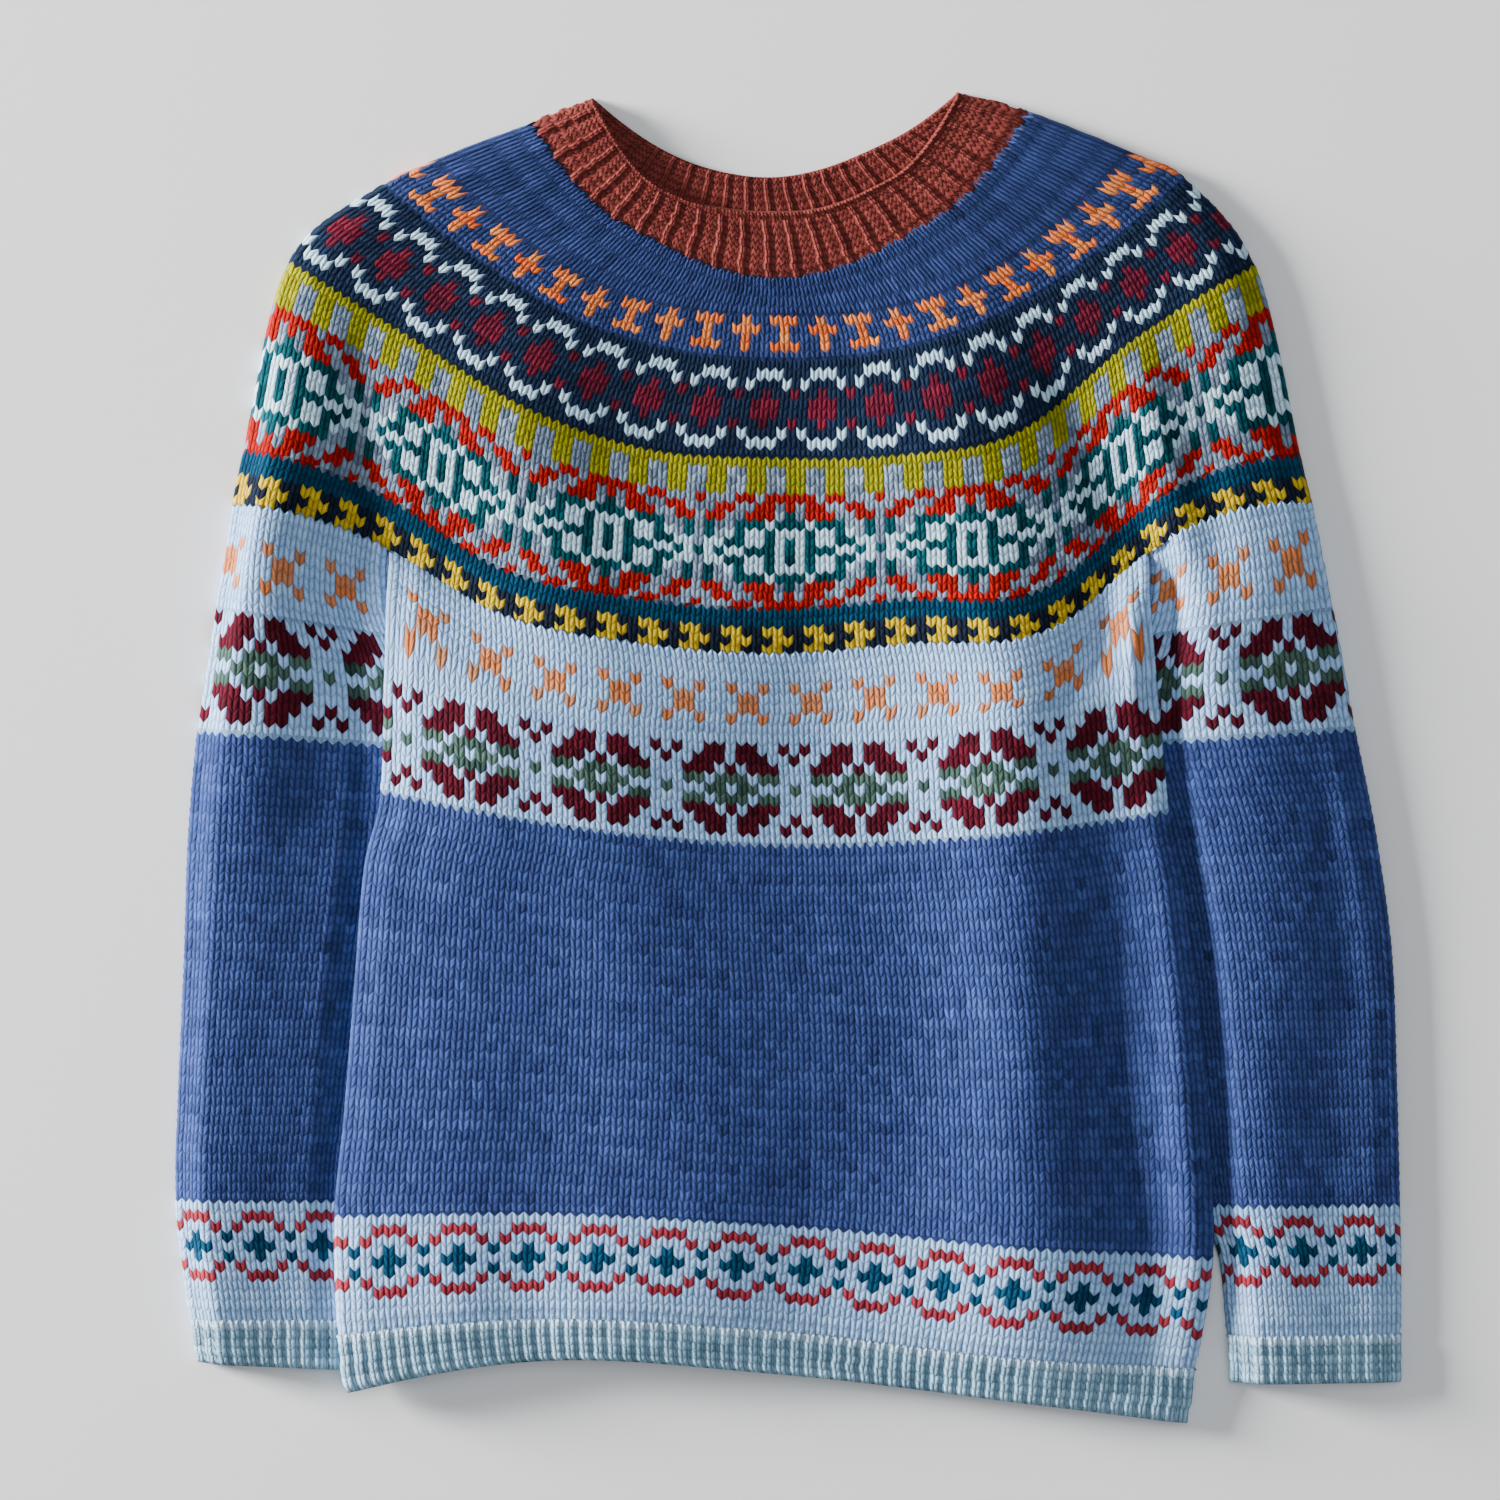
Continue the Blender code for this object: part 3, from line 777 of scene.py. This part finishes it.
    def bridge(self, upper, lower, colours):
        """Triangles that join two rings with unlike numbers of points."""
        start = upper.turns[0]
        over = upper.turns - start
        under = (lower.turns - start) % 1
        order = np.argsort(under)
        over, under = np.append(over, 1), np.append(under[order], under[order[0]] + 1)
        first, second = np.append(np.arange(len(upper.turns)), 0), np.append(order, order[0])
        corners, turns = [], []
        a = b = 0
        while a < len(over) - 1 or b < len(under) - 1:
            on_upper = b == len(under) - 1 or (a < len(over) - 1 and over[a + 1] <= under[b + 1])
            corner = [upper.start + first[a], lower.start + second[b]]
            turn = [over[a], under[b]]
            if on_upper:
                a += 1
                corner.append(upper.start + first[a])
                turn.append(over[a])
            else:
                b += 1
                corner.append(lower.start + second[b])
                turn.append(under[b])
            corners.append(corner)
            turns.append(turn)
        turns = np.array(turns) + start
        stitches = len(colours)
        nearest = np.floor(turns.mean(axis=1) * stitches).astype(int) % stitches
        yarn = np.stack([turns * stitches, np.zeros_like(turns)], axis=2)
        self.add_faces(np.array(corners), colours[nearest], yarn)

    def plain_face(self, first, last, turns, tone):
        """A smooth face of one colour between two places."""
        places = np.linspace(first, last, INNER_ROWS)
        rings = [self.ring(np.full(len(turns), place), turns, 0.0) for place in places]
        tones = np.broadcast_to(tone, (len(turns), 3))
        for upper, lower in zip(rings, rings[1:]):
            self.add_faces(quads(upper, lower), tones, np.zeros((len(turns), 4, 2)))
        return rings

    def close(self, stretches, rings, top, bottom, ribbed_inside):
        """Adds the inner face and both rims. top, bottom: the colours of the rows beside the rims."""
        first, last = stretches[0].first, stretches[-1].last
        turns = np.linspace(0, 1, INNER_AROUND, endpoint=False)
        self.side = -1
        if ribbed_inside:
            inner, _ = self.stretch(stretches[-1]._replace(first=first), STRAIGHT, last=True, sunk=False)
        else:
            inner = self.plain_face(first, last, turns, top.mean(axis=0))
        self.side = 1
        edges = [first - EDGE_REACH, last + EDGE_REACH]
        over, under = (self.ring(np.full(INNER_AROUND, edge), turns, -WALL / 2) for edge in edges)
        self.bridge(inner[0], over, top)
        self.bridge(over, rings[0], top)
        self.bridge(rings[-1], under, bottom)
        self.bridge(under, inner[-1], bottom)


def knit(name, cloth, stretches, chance, start, sunk, ribbed_inside):
    """One piece: its stitches outside, a plain or ribbed face inside, and the rims between them."""
    piece = Knitting(cloth, chance, whole_back=ribbed_inside)
    rings, tones = [], []
    for part in stretches:
        last = part is stretches[-1]
        made, colours = piece.stretch(part, JOINED if rings else start, last, last and sunk)
        if rings:
            piece.bridge(rings[-1], made[0], tones[-1])
        rings += made
        tones += [colours[0], colours[-1]]
    piece.close(stretches, rings, tones[0], tones[-1], ribbed_inside)
    return mesh_of(name, piece)


def mesh_of(name, knitting):
    """The mesh of a knitted piece, with the colour and the yarn place of every corner."""
    mesh = bpy.data.meshes.new(name)
    mesh.from_pydata((np.concatenate(knitting.points) * MM).tolist(), [], knitting.faces)
    colours = np.concatenate(knitting.colours)
    rgba = np.concatenate([colours, np.ones((len(colours), 1))], axis=1)
    mesh.color_attributes.new("yarn", "BYTE_COLOR", "CORNER").data.foreach_set("color", rgba.ravel())
    mesh.uv_layers.new(name="stitches").data.foreach_set("uv", np.concatenate(knitting.yarn).ravel())
    purl = mesh.attributes.new("purl", "FLOAT", "POINT")
    purl.data.foreach_set("value", np.concatenate(knitting.purl).astype(np.float32))
    mesh.shade_smooth()
    mesh.validate()
    mesh.update()
    piece = bpy.data.objects.new(name, mesh)
    bpy.context.scene.collection.objects.link(piece)
    return piece


# ---------------------------------------------------------------------------------------------------
# Materials
# ---------------------------------------------------------------------------------------------------


class Value:
    """A number socket of a shader, so that sums on it read as Python."""

    def __init__(self, tree, socket):
        self.tree, self.socket = tree, socket

    def made(self, operation, *inputs):
        """The result of a Math node on values or numbers."""
        node = self.tree.nodes.new("ShaderNodeMath")
        node.operation = operation
        for slot, value in zip(node.inputs, inputs):
            if isinstance(value, Value):
                self.tree.links.new(value.socket, slot)
            else:
                slot.default_value = value
        return Value(self.tree, node.outputs[0])

    def __add__(self, other):
        return self.made("ADD", self, other)

    def __radd__(self, other):
        return self.made("ADD", other, self)

    def __sub__(self, other):
        return self.made("SUBTRACT", self, other)

    def __rsub__(self, other):
        return self.made("SUBTRACT", other, self)

    def __mul__(self, other):
        return self.made("MULTIPLY", self, other)

    def __rmul__(self, other):
        return self.made("MULTIPLY", other, self)

    def __pow__(self, other):
        return self.made("POWER", self, other)

    def __abs__(self):
        return self.made("ABSOLUTE", self)

    def sine(self):
        return self.made("SINE", self)


class Shading:
    """The nodes of one material."""

    def __init__(self, name):
        self.material = bpy.data.materials.new(name)
        self.material.use_nodes = True
        self.tree = self.material.node_tree
        self.surface = self.tree.nodes["Principled BSDF"]

    def add(self, kind, settings=None, **inputs):
        """A new node with its settings, and values or links on the sockets with these identifiers."""
        made = self.tree.nodes.new(kind)
        for name, value in (settings or {}).items():
            setattr(made, name, value)
        for name, value in inputs.items():
            slot = next(slot for slot in made.inputs if slot.identifier == name)
            value = value.socket if isinstance(value, Value) else value
            if isinstance(value, bpy.types.NodeSocket):
                self.tree.links.new(value, slot)
            else:
                slot.default_value = value
        return made

    def number(self, node, output):
        """A number that a node gives out, ready for sums."""
        return Value(self.tree, node.outputs[output])


FIBRES = {"Scale": 900.0, "Detail": 3.0, "Roughness": 0.65}  # single loose fibres
CLUMPS = {"Scale": 260.0, "Detail": 2.0, "Roughness": 0.5}  # where they gather
PLIES_DOWN, PLIES_ACROSS = 2.5, 2.0  # turns of the plies in a row and in a stitch
PURL_BEND = 0.2  # share of a row by which a purl bump bends
# Powers that round off a leg, a row and a purl bump: the lower, the flatter its top.
LEG_POWER, ROW_POWER, PURL_POWER = 0.7, 0.4, 0.6
PLY_HEIGHT, FIBRE_HEIGHT, CLUMP_HEIGHT = 0.1, 0.55, 0.25  # against 1 for a leg
BUMP_STRENGTH = 0.75
BUMP_DISTANCE = 0.0009  # metres
# Painted shade: the base colour is darkened deep in the gaps between legs and rows, where shade would fall,
# and kept lighter on their crests.
PAINTED_GAP_SHADE = 0.38  # painted shade: share of its colour that the yarn keeps deep between the legs
PAINTED_LEG_SHADE, PAINTED_PURL_SHADE = 0.74, 0.62  # painted shade: how much is added on top of a leg and of a purl bump, where less shade is painted
PAINTED_ROW_END_SHADE, PAINTED_ROW_SHADE = 0.32, 0.68  # painted shade: shares of a leg's addition that it has at its end, and gains
FIBRE_SHADE_AND_TONE_LOW, FIBRE_SHADE_AND_TONE_SPREAD = 0.55, 0.9  # painted shade between the fibres, mixed with their random tone, and what the highest fibre adds
ROUGHNESS = 0.95
SPECULAR = 0.04
SHEEN = 0.07
SHEEN_ROUGHNESS = 0.45
PALE_SHEEN = (0.75, 0.82, 0.95, 1)
WARM_SHEEN = (0.5, 0.25, 0.2, 1)


def wool(name, sheen_tint=PALE_SHEEN):
    """Matte wool yarn: its colour from the knitting, darkened by painted shade deep between the legs, rows
    and fibres, with plied legs and short loose fibres.
    """
    yarn = Shading(name)
    colour = yarn.add("ShaderNodeVertexColor", {"layer_name": "yarn"})
    place = yarn.add("ShaderNodeUVMap", {"uv_map": "stitches"})
    parts = yarn.add("ShaderNodeSeparateXYZ", Vector=place.outputs["UV"])
    across, down = yarn.number(parts, "X"), yarn.number(parts, "Y")
    solid = yarn.add("ShaderNodeTexCoord").outputs["Object"]
    fibres = yarn.number(yarn.add("ShaderNodeTexNoise", Vector=solid, **FIBRES), "Fac")
    clumps = yarn.number(yarn.add("ShaderNodeTexNoise", Vector=solid, **CLUMPS), "Fac")
    purled = yarn.number(yarn.add("ShaderNodeAttribute", {"attribute_name": "purl"}), "Fac")

    swing = (across * (2 * math.pi)).sine()
    leg = abs(swing) ** LEG_POWER
    row = abs((down * math.pi).sine()) ** ROW_POWER
    purl = abs(((down + PURL_BEND * swing) * math.pi).sine()) ** PURL_POWER
    plies = ((down * PLIES_DOWN + across * PLIES_ACROSS) * (2 * math.pi)).sine()

    knitted = leg * row * (1 + PLY_HEIGHT * plies)
    height = knitted * (1 - purled) + purl * purled + fibres * FIBRE_HEIGHT + clumps * CLUMP_HEIGHT
    bump = yarn.add("ShaderNodeBump", Height=height, Strength=BUMP_STRENGTH, Distance=BUMP_DISTANCE)

    # Painted shade, multiplied into the yarn's colour: darker in the gaps and between fibres, lighter on
    # the crests.
    painted_leg_shade = PAINTED_LEG_SHADE * leg * (PAINTED_ROW_END_SHADE + PAINTED_ROW_SHADE * row) * (1 - purled)
    painted_shade = PAINTED_GAP_SHADE + painted_leg_shade + PAINTED_PURL_SHADE * purl * purled
    painted_shade = painted_shade * (FIBRE_SHADE_AND_TONE_LOW + FIBRE_SHADE_AND_TONE_SPREAD * fibres)
    painted_shade_grey = yarn.add("ShaderNodeCombineColor", Red=painted_shade, Green=painted_shade, Blue=painted_shade)
    colour_with_painted_shade = yarn.add(
        "ShaderNodeMix",
        {"data_type": "RGBA", "blend_type": "MULTIPLY"},
        Factor_Float=1.0,
        A_Color=colour.outputs["Color"],
        B_Color=painted_shade_grey.outputs["Color"],
    )
    result = next(slot for slot in colour_with_painted_shade.outputs if slot.identifier == "Result_Color")

    yarn.tree.links.new(result, yarn.surface.inputs["Base Color"])
    yarn.tree.links.new(bump.outputs["Normal"], yarn.surface.inputs["Normal"])
    yarn.surface.inputs["Roughness"].default_value = ROUGHNESS
    yarn.surface.inputs["Specular IOR Level"].default_value = SPECULAR
    yarn.surface.inputs["Sheen Weight"].default_value = SHEEN
    yarn.surface.inputs["Sheen Roughness"].default_value = SHEEN_ROUGHNESS
    yarn.surface.inputs["Sheen Tint"].default_value = sheen_tint
    return yarn.material


# ---------------------------------------------------------------------------------------------------
# The pieces, the floor, the lights and the camera
# ---------------------------------------------------------------------------------------------------


def flat_size(cloth):
    """Width and length of a piece's cut laid flat, and its area, in metres."""
    around = np.linalg.norm(np.roll(cloth.points, -1, axis=1) - cloth.points, axis=2).sum(axis=1) * MM
    down = np.linalg.norm(np.diff(cloth.points, axis=0), axis=2).mean(axis=1) * MM
    area = float(((around[1:] + around[:-1]) / 2 * down).sum())
    return float(around.max()), float(down.sum()), area


def build_piece(name, node_name, slot, cloth, stretches, chance, material, **how):
    piece = knit(name, cloth, stretches, chance, **how)
    piece.data.materials.append(material)
    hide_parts(node_name)
    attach(piece, "root")
    width, length, area = flat_size(cloth)


def build_jumper():
    """Every piece of the jumper, from the neckband down."""
    chance = np.random.default_rng(SEED)
    woollen = {
        "neckband_wool": wool("neckband wool", WARM_SHEEN),
        "yoke_wool": wool("yoke wool"),
        "body_wool": wool("body wool"),
        "ribbing_wool": wool("ribbing wool"),
    }
    right, left = sleeve_rounds(RIGHT_SLEEVE_LINES), sleeve_rounds(LEFT_SLEEVE_LINES)
    body = [body_round(line) for line in BODY_LINES]
    pieces = (
        ("neckband", "neckband_wool", YOKE_ROUNDS, yoke_heights, NECKBAND_STRETCHES),
        ("yoke", "yoke_wool", YOKE_ROUNDS, yoke_heights, YOKE_STRETCHES),
        ("body", "body_wool", body, body_heights, BODY_STRETCHES),
        ("hem_rib", "ribbing_wool", body, body_heights, HEM_STRETCHES),
        ("sleeve_right", "body_wool", right, sleeve_heights, RIGHT_SLEEVE_STRETCHES),
        ("cuff_right", "ribbing_wool", right, sleeve_heights, RIGHT_CUFF_STRETCHES),
        ("sleeve_left", "body_wool", left, sleeve_heights, LEFT_SLEEVE_STRETCHES),
        ("cuff_left", "ribbing_wool", left, sleeve_heights, LEFT_CUFF_STRETCHES),
    )
    for name, slot, rounds, heights_at, stretches in pieces:
        cloth = surface(rounds, heights_at, stretches[0].first, stretches[-1].last)
        is_neckband = name == "neckband"
        ends_free = name in ("hem_rib", "cuff_right", "cuff_left")
        how = {
            "start": STRAIGHT if is_neckband else RAISED,
            "sunk": not ends_free,
            "ribbed_inside": is_neckband,
        }
        build_piece("knitted_" + name, name, slot, cloth, stretches, chance, woollen[slot], **how)


CAMERA_X, CAMERA_Y = -19.5, 3.25  # the middle of the view
CAMERA_HEIGHT = 2.2  # metres
CLOTH_HEIGHT = 0.008  # metres up to the cloth at which the view is measured
VIEW = 0.75  # metres that the view takes in across, at that height
SENSOR = 36  # millimetres, inside the camera

FLOOR_SIZE = 20  # metres
FLOOR_HEIGHT = -0.0005  # metres, a little below the underside, so that the two don't share a plane
FLOOR_COLOUR = (0.98, 0.98, 0.98, 1)
FLOOR_ROUGHNESS = 0.9

Light = namedtuple("Light", "name place size power colour")
LIGHTS = (
    Light("window", (-4.7, 1.3, 0.9), 1.3, 1250, (1.0, 0.98, 0.96)),
    Light("ceiling", (0.4, 0.3, 2.8), 2.4, 26, (0.93, 0.97, 1.0)),
)
ROOM_COLOUR = (0.9, 0.94, 1.0, 1)
ROOM_STRENGTH = 0.3


def build_camera():
    """The camera looks straight down on the jumper."""
    data = bpy.data.cameras.new("camera")
    data.sensor_width = SENSOR
    data.lens = data.sensor_width * (CAMERA_HEIGHT - CLOTH_HEIGHT) / VIEW
    camera = bpy.data.objects.new("camera", data)
    camera.location = (CAMERA_X * MM, CAMERA_Y * MM, CAMERA_HEIGHT)
    bpy.context.scene.collection.objects.link(camera)
    bpy.context.scene.camera = camera


def build_floor():
    """A plain pale floor just under the jumper."""
    bpy.ops.mesh.primitive_plane_add(size=FLOOR_SIZE, location=(0, 0, FLOOR_HEIGHT))
    floor = bpy.context.object
    floor.name = "floor"
    paper = Shading("pale floor")
    paper.surface.inputs["Base Color"].default_value = FLOOR_COLOUR
    paper.surface.inputs["Roughness"].default_value = FLOOR_ROUGHNESS
    floor.data.materials.append(paper.material)


def build_lights():
    """Soft light low from the window side, a weak one from above, and the light of the room."""
    for light in LIGHTS:
        data = bpy.data.lights.new(light.name, "AREA")
        data.size, data.energy, data.color = light.size, light.power, light.colour
        lamp = bpy.data.objects.new(light.name, data)
        lamp.location = light.place
        lamp.rotation_euler = Vector(light.place).to_track_quat("Z", "Y").to_euler()
        bpy.context.scene.collection.objects.link(lamp)
    world = bpy.data.worlds.new("studio")
    bpy.context.scene.world = world
    world.use_nodes = True
    world.node_tree.nodes["Background"].inputs["Color"].default_value = ROOM_COLOUR
    world.node_tree.nodes["Background"].inputs["Strength"].default_value = ROOM_STRENGTH


bpy.ops.object.select_all(action="DESELECT")  # loading leaves the frame's nodes selected
build_camera()
build_floor()
build_lights()
build_jumper()
